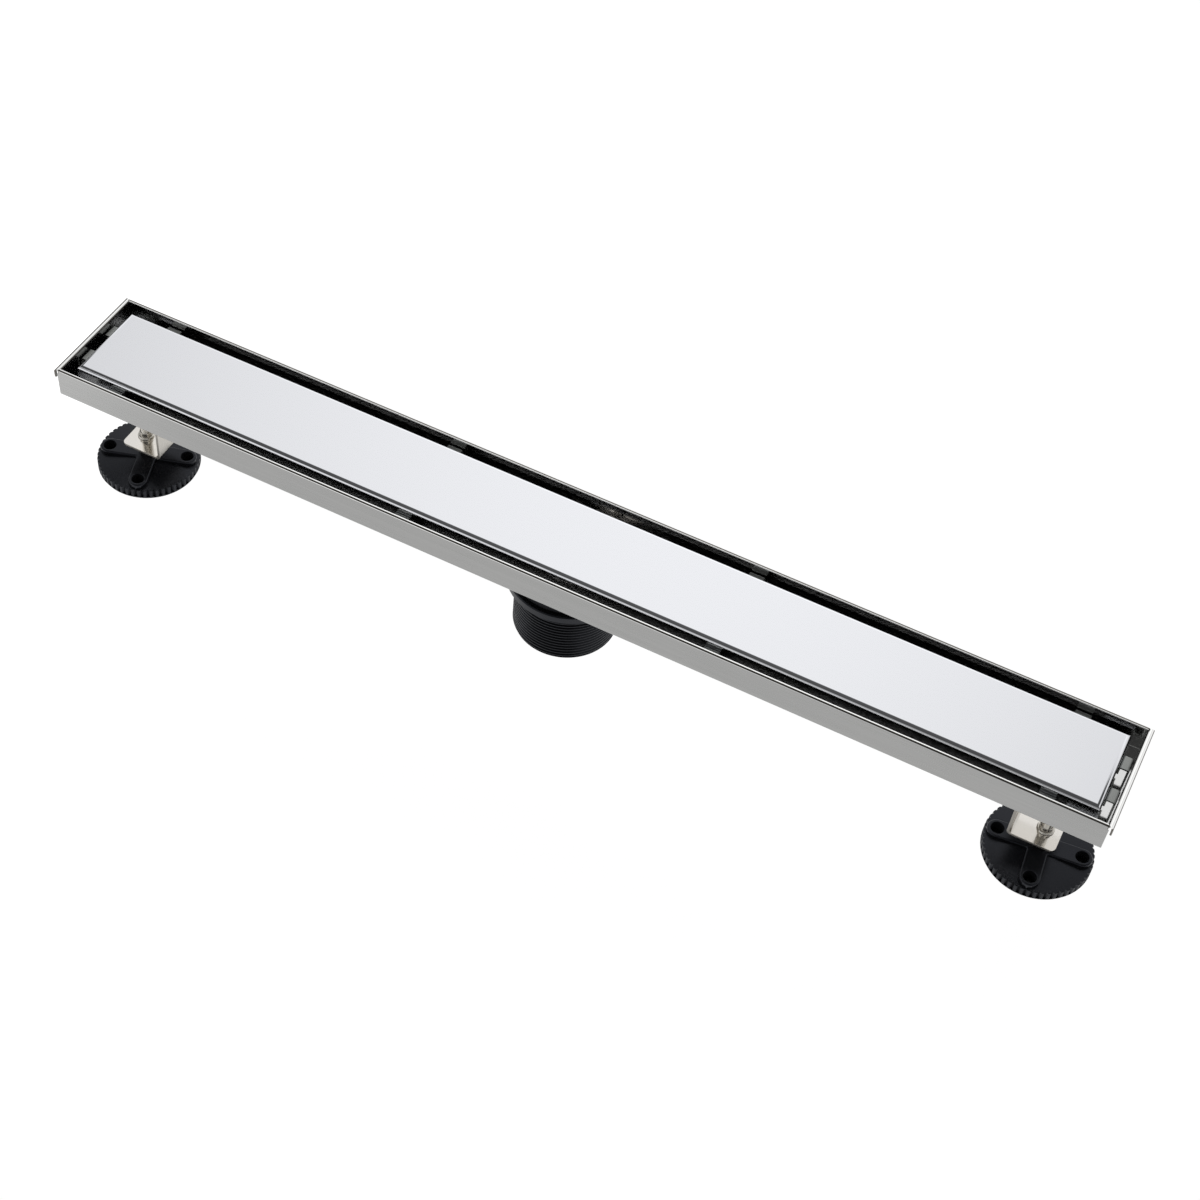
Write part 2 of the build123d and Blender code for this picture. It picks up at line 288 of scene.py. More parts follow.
def lies(part, **places):
    # whether the middle of a part lies at these places on the axes, or at their mirror images
    spot = middle(part)
    return all(abs(abs(getattr(spot, axis)) - place) < near for axis, place in places.items())


def pick(kind, test):
    # selects the verts, edges or faces of the piece in edit mode that pass the test
    bpy.ops.mesh.select_mode(type=kind[:-1].upper())
    bpy.ops.mesh.select_all(action="DESELECT")
    data = bpy.context.edit_object.data
    mesh = bmesh.from_edit_mesh(data)
    for part in getattr(mesh, kind):
        if test(part):
            part.select_set(True)
    mesh.select_flush_mode()
    bmesh.update_edit_mesh(data)


def bevel(width, steps, kind="EDGES"):
    bpy.ops.mesh.bevel(offset=width, segments=steps, affect=kind, clamp_overlap=False)


def move(x=0.0, y=0.0, z=0.0):
    bpy.ops.transform.translate(value=(x, y, z))


def extrude(x=0.0, y=0.0, z=0.0):
    bpy.ops.mesh.extrude_region_move(TRANSFORM_OT_translate={"value": (x, y, z)})


def stretch(x=1.0, y=1.0, centre=(0, 0, 0)):
    bpy.ops.transform.resize(value=(x, y, 1), center_override=centre)


def mergeAll(outside=True):
    bpy.ops.mesh.select_all(action="SELECT")
    bpy.ops.mesh.remove_doubles(threshold=tiny)
    if outside:
        bpy.ops.mesh.normals_make_consistent(inside=False)


def modify(piece, kind, **settings):
    only(piece)
    added = piece.modifiers.new(kind, kind)
    for name, value in settings.items():
        setattr(added, name, value)
    bpy.ops.object.modifier_apply(modifier=added.name)


def thicken(piece, thickness, offset=0):
    # about the sheet drawn so far, or inwards from it with an offset of -1
    modify(piece, "SOLIDIFY", thickness=thickness, offset=offset, use_even_offset=True)


def combine(piece, operation, tool):
    modify(piece, "BOOLEAN", operation=operation, object=tool, solver="EXACT")
    bpy.data.objects.remove(tool)


def copyOf(piece, place):
    # a copy with its own mesh, put in its place
    twin = bpy.data.objects.new(piece.name, piece.data.copy())
    twin.data.transform(place)
    bpy.context.scene.collection.objects.link(twin)
    return twin


def atEnd(piece, hand):
    # a copy for one end of the trough, of a piece made at the right end
    return copyOf(piece, Matrix.Rotation(0 if hand == "right" else pi, 4, "Z"))


def atFoot(piece, hand, turn=0.0):
    # a copy for one foot, turned as that foot's pad is, of a piece made at the origin
    turned = Matrix.Rotation(radians(padTurn[hand] + turn), 4, "Z")
    return copyOf(piece, Matrix.Translation((footX[hand], 0, 0)) @ turned)


def around(piece, count):
    # copies of a piece spread evenly about the upright axis and joined
    ring = [copyOf(piece, Matrix.Rotation(2 * pi * number / count, 4, "Z")) for number in range(count)]
    bpy.data.objects.remove(piece)
    only(ring[0])
    for twin in ring:
        twin.select_set(True)
    bpy.ops.object.join()
    return ring[0]


def addCylinder(radius, low, high, count, centre=(0, 0)):
    deselect()
    place = (*centre, (low + high) / 2)
    bpy.ops.mesh.primitive_cylinder_add(vertices=count, radius=radius, depth=high - low, location=place)
    bpy.ops.object.transform_apply()
    return bpy.context.object


def addBox(low, high):
    deselect()
    bpy.ops.mesh.primitive_cube_add(size=1, location=(low + high) / 2, scale=high - low)
    bpy.ops.object.transform_apply()
    return bpy.context.object


def addStrip(width, path):
    # a sheet strip across Y, drawn along a path in the XZ plane, edge by edge
    deselect()
    bpy.ops.mesh.primitive_plane_add(size=1)
    piece = bpy.context.object
    edit(piece)
    pick("verts", lambda vert: vert.co.x < 0)
    # the plane's two ends go to the first two points
    for end, (x, z) in zip((-1, 1), path):
        stretch(y=width)
        move(x - end / 2, 0, z)
        bpy.ops.mesh.select_all(action="INVERT")
    x, z = path[1]
    pick("edges", lambda edge: lies(edge, x=x, z=z))
    for nextX, nextZ in path[2:]:
        extrude(nextX - x, 0, nextZ - z)
        x, z = nextX, nextZ
    endEdit()
    return piece


def addTurned(profile, centre=(0, 0), count=roundSides, solid=False):
    # drawn from point to point of a profile of (radius, height): a closed ring, or a solid with flat ends
    deselect()
    radius, height = profile[0]
    fill = "NGON" if solid else "NOTHING"
    place = (*centre, height)
    bpy.ops.mesh.primitive_circle_add(vertices=count, radius=radius, location=place, fill_type=fill)
    bpy.ops.object.transform_apply()
    piece = bpy.context.object
    edit(piece)
    bpy.ops.mesh.select_all(action="SELECT")
    route = profile if solid else profile + profile[:1]
    for (radius, height), (nextRadius, nextHeight) in zip(route, route[1:]):
        extrude(0, 0, nextHeight - height)
        factor = nextRadius / radius
        stretch(factor, factor, (*centre, nextHeight))
    mergeAll()
    endEdit()
    return piece


spareTurns = 2  # wound beyond each end of a thread and cut off


def addThread(thread, low, high):
    # one tooth drawn point by point from a single vertex, wound up by a screw and cut level at both ends
    deselect()
    pitch, root, count = thread["pitch"], thread["root"], thread["count"]
    bpy.ops.mesh.primitive_plane_add(size=pitch, location=(root, 0, low - spareTurns * pitch))
    bpy.ops.object.transform_apply()
    piece = bpy.context.object
    edit(piece)
    bpy.ops.mesh.merge(type="CENTER")
    depth = thread["crest"] - root
    flank = pitch * thread["flank"]
    crest = pitch * thread["land"]
    for x, z in ((depth, flank), (0, crest), (-depth, flank), (0, pitch - 2 * flank - crest)):
        extrude(x, 0, z)
    endEdit()
    turns = int((high - low) / pitch) + 2 * spareTurns + 1
    modify(
        piece, "SCREW", axis="Z", angle=2 * pi, screw_offset=pitch, iterations=turns,
        steps=count, render_steps=count, use_merge_vertices=True, merge_threshold=tiny,
    )
    edit(piece)
    mergeAll()
    for height, below in ((low, True), (high, False)):
        bpy.ops.mesh.select_all(action="SELECT")
        bpy.ops.mesh.bisect(
            plane_co=(0, 0, height), plane_no=(0, 0, 1), use_fill=True,
            clear_inner=below, clear_outer=not below, threshold=exact,
        )
    mergeAll()
    endEdit()
    return piece


def finishPiece(piece, node, body, finish, smooth=smoothAngle):
    # takes the place of one node of the frame, whose name it has in camelCase
    edit(piece)
    mergeAll(outside=False)
    endEdit()
    only(piece)
    bpy.ops.object.shade_smooth_by_angle(angle=radians(smooth))
    modify(piece, "WEIGHTED_NORMAL", keep_sharp=True)
    first, *rest = node.split("_")
    piece.name = piece.data.name = first + "".join(word.title() for word in rest)
    piece.data.materials.clear()
    piece.data.materials.append(finishes[finish])
    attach(piece, body)
    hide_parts(node)


grainDetail = 3.0
cloudDetail = 2.0
noiseMiddle = 0.5  # about the mean of a noise
bumpHeight = 0.00002


def newFinish(name, constants):
    material = bpy.data.materials.new(name)
    material.use_nodes = True
    shader = material.node_tree.nodes["Principled BSDF"]
    for socket, value in constants.items():
        shader.inputs[socket].default_value = value
    return material, shader, Wire(material.node_tree)


def feed(shader, colour, roughness, grain, strength):
    sockets = {"Strength": strength, "Distance": bumpHeight, "Height": grain}
    bump = grain.node("ShaderNodeBump", {}, sockets, "Normal")
    for socket, wire in {"Base Color": colour, "Roughness": roughness, "Normal": bump}.items():
        wire.tree.links.new(wire.socket, shader.inputs[socket])


def noise(wire, place, scale, detail):
    # streaks or grains, as fine along each axis as the scale says
    spread = wire.node("ShaderNodeMapping", {}, {"Vector": place, "Scale": scale})
    return wire.node("ShaderNodeTexNoise", {}, {"Vector": spread, "Scale": 1.0, "Detail": detail}, "Fac")


def shades(colour, spread):
    return [tuple(min(1, level * factor) for level in colour) + (1,) for factor in (1 - spread, 1 + spread)]


steels = {
    "troughSteel": {
        "colour": (0.355, 0.355, 0.35), "spread": 0.12, "roughness": 0.28, "uneven": 0.1,
        "grain": (12, 900, 900), "bump": 0.04,
    },
    "coverSteel": {
        "colour": (0.733, 0.741, 0.769), "spread": 0.012, "roughness": 0.1, "uneven": 0.03,
        "grain": (20, 1800, 1800), "bump": 0.01,
    },
    "lugSteel": {
        "colour": (0.3, 0.31, 0.3), "spread": 0.08, "roughness": 0.34, "uneven": 0.1,
        "grain": (900, 900, 900), "bump": 0.04,
    },
    "polishedSteel": {
        "colour": (0.76, 0.735, 0.695), "spread": 0.03, "roughness": 0.13, "uneven": 0.04,
        "grain": (260, 260, 40), "bump": 0.02,
    },
    "platedSteel": {
        "colour": (0.56, 0.54, 0.5), "spread": 0.05, "roughness": 0.13, "uneven": 0.08,
        "grain": (900, 900, 900), "bump": 0.02,
    },
}
steels["bracketSteel"] = steels["polishedSteel"]
steelCloud = {"scale": (25, 25, 25), "colourShare": 0.3, "roughShare": 0.4}  # shares beside the grain
bracketEdge = {"colour": (0.3, 0.285, 0.26, 1), "roughness": 0.35}  # sheared, so duller than the faces
bracketLegPaintedShade = {"colour": (0.5, 0.478, 0.44, 1), "roughness": 0.2, "fade": 0.002}  # painted shade, darker than the shelf
# faces of the trough that are finished in another way than its walls, and dark bands painted on its rims and
# end lips
troughInside = {"colour": (0.73, 0.73, 0.725, 1), "roughness": 0.1}
troughFloor = {
    "colour": (0.38, 0.373, 0.355, 1), "roughness": 0.38,
    "polishedEnd": 0.022,  # satin between its two ends
}
troughRim = {"colour": (0.92, 0.92, 0.91, 1), "roughness": 0.07, "depth": 0.0005, "lipDepth": 0.002}
troughUnderside = {"colour": (0.86, 0.85, 0.83, 1), "roughness": 0.25}
# painted shade: a dark band along each long rim's top over the hem's joint, a dark joint widened into a
# painted reflection, and dark bands on the end lips outside a plain band; the left lip's outer band is wider
# than the right's
troughPaintedShade = {
    "colour": (0.14, 0.131, 0.118, 1), "roughness": 0.3, "depth": 0.0003,
    "frontInset": 0.00115, "backInset": 0.0014,
    "lipInner": 0.0005, "lipOuter": {"left": 0.0016, "right": 0.0005}, "lipCut": 0.0002,
}
maskMargin = 0.0001


def steelFinish(name):
    look = steels[name]
    material, shader, wire = newFinish(name, {"Metallic": 1.0})
    place = wire.node("ShaderNodeTexCoord", {}, {}, "Object")
    grain = noise(wire, place, look["grain"], grainDetail)
    cloud = noise(wire, place, steelCloud["scale"], cloudDetail)
    tone, dulling = (
        grain * (1 - steelCloud[key]) + cloud * steelCloud[key] for key in ("colourShare", "roughShare")
    )
    colour = tone.blend(*shades(look["colour"], look["spread"]))
    roughness = look["roughness"] + (dulling - noiseMiddle) * look["uneven"]
    for face, mask in otherFaces(name, place):
        colour = mask.blend(colour, face["colour"])
        roughness = roughness * (1 - mask) + mask * face["roughness"]
    feed(shader, colour, roughness, grain, look["bump"])
    return material


def otherFaces(name, place):
    # faces of a piece that are finished in another way than the rest, or have shade painted on them, with
    # their masks
    if name == "troughSteel":
        return zip((troughInside, troughFloor, troughRim, troughPaintedShade, troughUnderside), troughMasks(place))
    if name == "bracketSteel":
        x, y, z = place.axes()
        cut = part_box("foot_bracket_right")[1].y
        legEnd = footX["right"] - bracketForm["legReach"] + bracketForm["sheet"]
        # painted shade on the leg and the tab above it
        leg = 1 - abs(x).step(legEnd, legEnd + bracketLegPaintedShade["fade"])
        return [(bracketLegPaintedShade, leg), (bracketEdge, abs(y).step(cut - 2 * maskMargin, cut - maskMargin))]
    return []


def troughMasks(place):
    # 1 on the faces that look into the trough, on its floor and rim, on the rim tops outside the folds and
    # on the end lips where dark bands are painted, and on its underside
    x, y, z = place.axes()
    wallInside = troughHigh.y - sheet
    endInside = troughHigh.x - sheet
    across = 1 - abs(y).step(wallInside - maskMargin, wallInside + maskMargin)
    along = 1 - abs(x).step(endInside - maskMargin, endInside + maskMargin)
    middleOfFloor = floorTop - sheet / 2
    inside = across * along * z.step(middleOfFloor - maskMargin, middleOfFloor + maskMargin)
    satinEnd = endInside - troughFloor["polishedEnd"]
    satin = inside * (1 - abs(x).step(satinEnd - maskMargin, satinEnd))
    satin = satin * (1 - z.step(floorTop + maskMargin, floorTop + 2 * maskMargin))
    rim, lip, fold = (
        z.step(rimTop - depth - maskMargin, rimTop - depth)
        for depth in (troughRim["depth"], troughRim["lipDepth"], troughPaintedShade["depth"])
    )
    rim = along * rim + (1 - along) * lip
    # painted shade lies on the rim tops outward of these lines, on the end lips outside a plain band, and on
    # the lips' cut ends
    frontFold, backFold = (troughHigh.y - troughPaintedShade[key] for key in ("frontInset", "backInset"))
    outer = y.step(backFold - maskMargin, backFold) + 1 - y.step(-frontFold, maskMargin - frontFold)
    lipFrom = endInside + troughPaintedShade["lipInner"]
    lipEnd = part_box("end_wall_right")[1].x
    bright = abs(x).step(lipFrom - maskMargin, lipFrom)
    for hand, side in sides.items():
        lipTo = lipEnd - troughPaintedShade["lipOuter"][hand]
        bright = bright * (1 - (x * side).step(lipTo, lipTo + maskMargin))
    lipCut = troughHigh.y - troughPaintedShade["lipCut"]
    cut = abs(x).step(troughHigh.x + maskMargin, troughHigh.x + 2 * maskMargin)
    cut = cut * abs(y).step(lipCut - maskMargin, lipCut)
    paintedShadeMask = x.sum("MAXIMUM", along * fold * outer + (1 - along) * lip * (1 - bright), cut)
    underside = 1 - z.step(troughLow.z, troughLow.z + maskMargin)
    return inside, satin, rim, paintedShadeMask, underside


plastics = {
    "outletPlastic": {
        "colour": (0.0035, 0.0036, 0.0042), "spread": 0.2, "roughness": 0.3, "uneven": 0.12,
        "specular": 0.3, "grain": 2500, "bump": 0.08,
    },
    "padPlastic": {
        "colour": (0.006, 0.0063, 0.0076), "spread": 0.25, "roughness": 0.3, "uneven": 0.12,
        "specular": 0.32, "grain": 2200, "bump": 0.1, "ribRough": 0.2,
    },
    "sealRubber": {
        "colour": (0.008, 0.008, 0.008), "spread": 0.2, "roughness": 0.65, "uneven": 0.12,
        "specular": 0.3, "grain": 1500, "bump": 0.2,
    },
}
plasticCloud = (60, 60, 60)
plasticTint = (0.8, 0.85, 1.0, 1)  # the black plastics shine a little blue
holePaintedShade = {"colour": (0.0004, 0.0004, 0.0005, 1), "roughness": 1.0}  # painted shade inside the screw holes of the pads


def holeShade(place):
    # the four holes are alike, so each point is turned to lie by the first one
    x, y, z = place.axes()
    right = x.step(-maskMargin, maskMargin)
    out = abs(x) - footX["right"]
    turns = {hand: radians(padTurn[hand] * side) for hand, side in sides.items()}
    level, rise = (right * wave(turns["right"]) + (1 - right) * wave(turns["left"]) for wave in (cos, sin))
    one = abs(out * level + y * rise)
    other = abs(y * level - out * rise)
    along = x.sum("MAXIMUM", one, other) - padForm["holeCircle"] / 2
    across = x.sum("MINIMUM", one, other)
    wall = padForm["recess"] + maskMargin / 2
    hole = 1 - x.sum("SQRT", along * along + across * across).step(wall, wall + maskMargin)
    return hole * z.step(0, maskMargin)


def plasticFinish(name):
    look = plastics[name]
    constants = {"Metallic": 0.0, "Specular IOR Level": look["specular"], "Specular Tint": plasticTint}
    material, shader, wire = newFinish(name, constants)
    place = wire.node("ShaderNodeTexCoord", {}, {}, "Object")
    grain = noise(wire, place, (look["grain"],) * 3, grainDetail)
    cloud = noise(wire, place, plasticCloud, cloudDetail)
    colour = cloud.blend(*shades(look["colour"], look["spread"]))
    roughness = look["roughness"] + (grain + cloud - 2 * noiseMiddle) * look["uneven"]
    if name == "padPlastic":
        # shade painted inside the screw holes
        shade = holeShade(place)
        colour = shade.blend(colour, holePaintedShade["colour"])
        roughness = roughness * (1 - shade) + shade * holePaintedShade["roughness"]
        ribTop = padForm["rim"] - padForm["ribBevel"]
        ribbed = 1 - place.axes()[2].step(ribTop - padForm["ribBevel"], ribTop)
        roughness = roughness + ribbed * (1 - shade) * look["ribRough"]
    feed(shader, colour, roughness, grain, look["bump"])
    return material


# trough: a folded sheet with its long rims folded back inside
troughForm = {
    "hemDrop": 0.0055, "floorBend": 0.0015, "rimRound": 0.00096, "hemRound": 0.0003, "steps": 5,
    "flatAngle": 1.0,  # degrees, and faces at less than this to each other are one
}


def makeTrough():
    low, high = troughLow, troughHigh
    hemEnd = high.z - troughForm["hemDrop"]
    endX = high.x - sheet

    def hemmed(face, side):
        # the inside of a long wall, over the hem's edge and between the end walls
        spot = middle(face)
        inside = face.normal.y * side < -facing and spot.y * side > 0
        return inside and spot.z > hemEnd and abs(spot.x) < endX

    piece = addBox(low, high)
    edit(piece)
    pick("faces", lambda face: face.normal.z > facing or abs(face.normal.x) > facing)
    bpy.ops.mesh.delete(type="FACE")
    endEdit()
    thicken(piece, sheet, -1)
    edit(piece)
    cuts = [((endX, 0, 0), (1, 0, 0)), ((-endX, 0, 0), (1, 0, 0)), ((0, 0, hemEnd), (0, 0, 1))]
    for place, normal in cuts:
        bpy.ops.mesh.select_all(action="SELECT")
        bpy.ops.mesh.bisect(plane_co=place, plane_no=normal)
    for side in sides.values():
        pick("faces", lambda face: hemmed(face, side))
        extrude(0, -side * sheet, 0)
    mergeAll(outside=False)
    bpy.ops.mesh.dissolve_limited(angle_limit=radians(troughForm["flatAngle"]))
    pick("edges", lambda edge: runs(edge, "x") and lies(edge, y=high.y, z=low.z))
    bevel(troughForm["floorBend"], troughForm["steps"])
    pick("edges", lambda edge: runs(edge, "x") and lies(edge, y=high.y - sheet, z=floorTop))
    bevel(troughForm["floorBend"] - sheet, troughForm["steps"])
    for place, rounded in ((high.y, "rimRound"), (high.y - 2 * sheet, "hemRound")):
        pick("edges", lambda edge: runs(edge, "x") and lies(edge, y=place, z=high.z))
        bevel(troughForm[rounded], troughForm["steps"])
    endEdit()
    drill = addCylinder(neckBore, low.z - sheet, floorTop + sheet, roundSides, (outletX, 0))
    combine(piece, "DIFFERENCE", drill)
    finishPiece(piece, "trough_channel", "trough", "troughSteel")
    print("trough folded")


# end walls: a plate between the long walls, folded over outwards into a lip
endForm = {
    "lipDrop": 0.0055, "lipGap": 0.001, "steps": 6,
    "foldShare": 0.99,  # of the fold's radius, so that its two bends stay apart
}


def makeEndWalls():
    low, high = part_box("end_wall_right")
    foldRadius = (sheet + endForm["lipGap"]) / 2
    wallX = low.x + sheet / 2
    lipX = high.x - sheet / 2
    top = high.z - sheet / 2
    between = high.y - sheet
    path = [(wallX, low.z), (wallX, top), (lipX, top), (lipX, high.z - endForm["lipDrop"])]
    piece = addStrip(2 * between, path)
    edit(piece)
    pick("verts", lambda vert: lies(vert, z=low.z))
    bevel(troughForm["floorBend"], endForm["steps"], "VERTICES")
    pick("verts", lambda vert: lies(vert, x=lipX))
    stretch(y=high.y / between)
    pick("edges", lambda edge: runs(edge, "y") and lies(edge, z=top))
    bevel(foldRadius * endForm["foldShare"], endForm["steps"])
    endEdit()
    thicken(piece, sheet)
    for hand in sides:
        finishPiece(atEnd(piece, hand), f"end_wall_{hand}", "trough", "troughSteel")
    bpy.data.objects.remove(piece)
    print("end walls folded")


# cover: a shallow pan lying flat side up
coverForm = {"sheet": 0.0012, "fold": 0.0027, "steps": 8, "smooth": 25}


def makeCover():
    low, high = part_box("cover_pan")
    piece = addBox(low, high)
    edit(piece)
    pick("edges", lambda edge: lies(edge, z=high.z))
    bevel(coverForm["fold"], coverForm["steps"])
    pick("faces", lambda face: face.normal.z < -facing)
    bpy.ops.mesh.delete(type="FACE")
    endEdit()
    thicken(piece, coverForm["sheet"], -1)
    finishPiece(piece, "cover_pan", "trough", "coverSteel", coverForm["smooth"])
    print("cover pressed")


# lugs: bent strips on the sides of the cover that stand on the trough's floor
lugForm = {"sheet": 0.001, "bend": 0.001, "weld": 0.0055, "steps": 4, "edge": 0.00015}
lugTurns = {"right": 0, "back": pi / 2, "left": pi, "front": -pi / 2}


def makeLugs():
    low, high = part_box("cover_lug_back_1")
    reach = high.y - low.y
    half = lugForm["sheet"] / 2
    top = high.z - half
    path = [(half, high.z - lugForm["weld"]), (half, top), (reach - half, top), (reach - half, low.z)]
    piece = addStrip(high.x - low.x, path)
    edit(piece)
    pick("edges", lambda edge: runs(edge, "y") and lies(edge, z=top))
    bevel(lugForm["bend"], lugForm["steps"])
    endEdit()
    thicken(piece, lugForm["sheet"])
    modify(piece, "BEVEL", width=lugForm["edge"], **edgeBevel)
    for node in sorted(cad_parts):
        if node.startswith("cover_lug"):
            low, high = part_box(node)
            turn = Matrix.Rotation(lugTurns[node.split("_")[2]], 4, "Z")
            outward = turn @ Vector((1, 0, 0))
            start = (low + high) / 2 - outward * (reach / 2)  # on the side of the cover
            twin = copyOf(piece, Matrix.Translation((start.x, start.y, 0)) @ turn)
            finishPiece(twin, node, "trough", "lugSteel")
    bpy.data.objects.remove(piece)
    print("lugs bent")


# outlet: a flanged steel neck, a rubber ring and a threaded plastic adaptor
outletForm = {
    "edge": 0.0004, "sealClearance": 0.0003, "overlap": 0.0004, "chamfer": 0.0012, "flange": 0.005,
    "flangeEdge": 0.0006, "slack": 0.00005,
}
outletThread = {"crest": 0.0286, "root": 0.0275, "pitch": 0.0022, "flank": 0.3, "land": 0.2, "count": 96}


def makeOutlet():
    centre = (outletX, 0)
    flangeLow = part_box("outlet_seal")[1].z
    edge = outletForm["edge"]
    flangeRadius = (neckHigh.x - neckLow.x) / 2
    profile = [
        (neckBore, neckLow.z), (neckRadius, neckLow.z), (neckRadius, flangeLow - edge),
        (neckRadius + edge, flangeLow), (flangeRadius, flangeLow), (flangeRadius, neckHigh.z),
        (neckBore, neckHigh.z),
    ]
    neck = addTurned(profile, centre)
    finishPiece(neck, "outlet_neck", "trough", "polishedSteel")

    low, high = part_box("outlet_seal")
    inner = neckRadius + outletForm["sealClearance"]
    outer = (high.x - low.x) / 2
    profile = [
        (inner, low.z), (outer - edge, low.z), (outer, low.z + edge), (outer, high.z - edge),
        (outer - edge, high.z), (inner, high.z),
    ]
    seal = addTurned(profile, centre)
    finishPiece(seal, "outlet_seal", "trough", "sealRubber")

    low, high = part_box("outlet_adaptor")
    flangeZ = high.z - outletForm["flange"]
    adaptor = addThread(outletThread, low.z, flangeZ + outletForm["overlap"])
    adaptor.data.transform(Matrix.Translation((outletX, 0, 0)))
    cut = outletForm["chamfer"]
    outside = outletThread["crest"] + outletForm["slack"]
    profile = [(outside - cut, low.z), (outside, low.z + cut), (outside, flangeZ + 2 * cut)]
    combine(adaptor, "INTERSECT", addTurned(profile, centre, solid=True))
    rim = outletForm["flangeEdge"]
    wide = (high.x - low.x) / 2
    profile = [(wide - rim, flangeZ), (wide, flangeZ + rim), (wide, high.z - rim), (wide - rim, high.z)]
    combine(adaptor, "UNION", addTurned(profile, centre, solid=True))
    for bore, bottom in ((neckBore, low.z - cut), (inner, neckLow.z)):
        combine(adaptor, "DIFFERENCE", addCylinder(bore, bottom, high.z + cut, roundSides, centre))
    finishPiece(adaptor, "outlet_adaptor", "trough", "outletPlastic")
    print("outlet turned and threaded")


# strainer: a pressed basket hung in the neck by its rim
strainerForm = {
    "sheet": 0.0008, "basket": 0.0234, "bend": 0.0005, "hole": 0.0025, "holeCount": 32, "pitch": 0.0076,
    "rings": 2, "spokes": 4,
}


def makeStrainer():
    form = strainerForm
    low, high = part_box("hair_strainer")
    thick, outer, bend, hole = (form[key] for key in ("sheet", "basket", "bend", "hole"))
    inner = outer - thick
    wide = (high.x - low.x) / 2
    profile = [
        (hole, low.z), (outer - bend, low.z), (outer, low.z + bend), (outer, high.z - thick),
        (wide, high.z - thick), (wide, high.z), (inner + bend, high.z), (inner, high.z - bend),
        (inner, low.z + thick + bend / 2), (inner - bend / 2, low.z + thick), (hole, low.z + thick),
    ]
    piece = addTurned(profile)
    for ring in range(1, form["rings"] + 1):
        place = (ring * form["pitch"], 0)
        drill = addCylinder(hole, low.z - thick, low.z + 2 * thick, form["holeCount"], place)
        combine(piece, "DIFFERENCE", around(drill, ring * form["spokes"]))
    piece.data.transform(Matrix.Translation((outletX, 0, 0)))
    finishPiece(piece, "hair_strainer", "trough", "polishedSteel")
    print("strainer pressed")


# brackets: bent strips from the underside of the trough to the feet
bracketForm = {
    "sheet": 0.0015, "bend": 0.00225, "corner": 0.003, "legReach": 0.0175, "hole": 0.0034, "holeCount": 48,
    "steps": 6, "edge": 0.0002,
}


def makeBrackets():
    low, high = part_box("foot_bracket_right")
    boltX = footX["right"]
    half = bracketForm["sheet"] / 2
    legX = boltX - bracketForm["legReach"] + half
    path = [(low.x, high.z - half), (legX, high.z - half), (legX, low.z + half), (high.x, low.z + half)]
    piece = addStrip(high.y - low.y, path)
    edit(piece)
    pick("verts", lambda vert: lies(vert, x=low.x) or lies(vert, x=high.x))
    bevel(bracketForm["corner"], bracketForm["steps"], "VERTICES")
    pick("edges", lambda edge: runs(edge, "y") and lies(edge, x=legX))
    bevel(bracketForm["bend"], bracketForm["steps"])
    endEdit()
    thicken(piece, bracketForm["sheet"])
    hole, count = bracketForm["hole"], bracketForm["holeCount"]
    combine(piece, "DIFFERENCE", addCylinder(hole, low.z - half, low.z + 3 * half, count, (boltX, 0)))
    modify(piece, "BEVEL", width=bracketForm["edge"], **edgeBevel)
    for hand in sides:
        finishPiece(atEnd(piece, hand), f"foot_bracket_{hand}", "trough", "bracketSteel")
    bpy.data.objects.remove(piece)
    print("brackets bent")


# levelling gear: round nut with a low flange on the shelf, threaded bolt, hexagon nut on the pad
boltThread = {"crest": 0.003, "root": 0.00245, "pitch": 0.001, "flank": 0.38, "land": 0.12, "count": 40}
gearForm = {
    "bore": 0.00305, "boreEdge": 0.0004, "count": 64,
    "flange": 0.0013, "flangeRound": 0.0008, "steps": 4, "collar": 0.0038, "collarEdge": 0.0002,
    "hexSize": 0.01,
    "hexFace": 0.97,  # share of that size that stays flat on the ends
    "hexDrop": 0.6,  # height of a turned corner to its depth
    "hexTurn": 30,  # degrees from the pad's cross
    "headHeight": 0.004, "tip": 0.0009, "overlap": 0.0002, "slack": 0.00002,
}


def hexPrism(low, high):
    # hexagon bar with the corners of both ends turned down
    flat = gearForm["hexSize"] / 2
    corner = flat / cos(pi / hexSides)
    bar = addCylinder(corner, low, high, hexSides)
    face = flat * gearForm["hexFace"]
    drop = (corner - face) * gearForm["hexDrop"]
    outside = corner + tiny
    profile = [(face, low), (outside, low + drop), (outside, high - drop), (face, high)]
    combine(bar, "INTERSECT", addTurned(profile, solid=True))
    return bar


